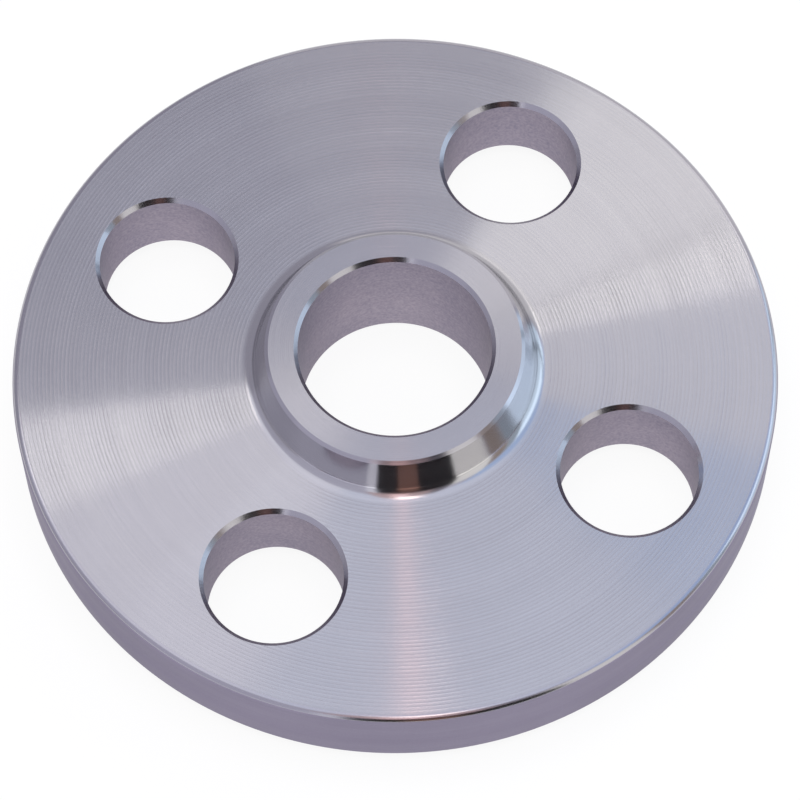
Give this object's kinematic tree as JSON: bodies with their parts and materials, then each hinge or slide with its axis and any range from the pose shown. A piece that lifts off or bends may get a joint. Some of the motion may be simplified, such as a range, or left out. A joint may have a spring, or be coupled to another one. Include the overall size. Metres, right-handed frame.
{
  "type": "slip-on pipe flange",
  "caption": "Round slip-on pipe flange with a low tapered hub, a raised sealing face, a through bore that the pipe slips into, and through holes for its bolts.",
  "frame": {"origin": "centre of the raised face, on the bore axis, where the flange lies on a surface", "axes": "+Z along the bore axis from the raised face towards the hub; the bolt holes straddle the X and Y axes"},
  "size_m": [0.0888, 0.0888, 0.0163],
  "materials": {
    "steel": "bright, with fine concentric turning marks"
  },
  "bodies": {
    "root": {"flange": "steel"}
  },
  "joints": []
}
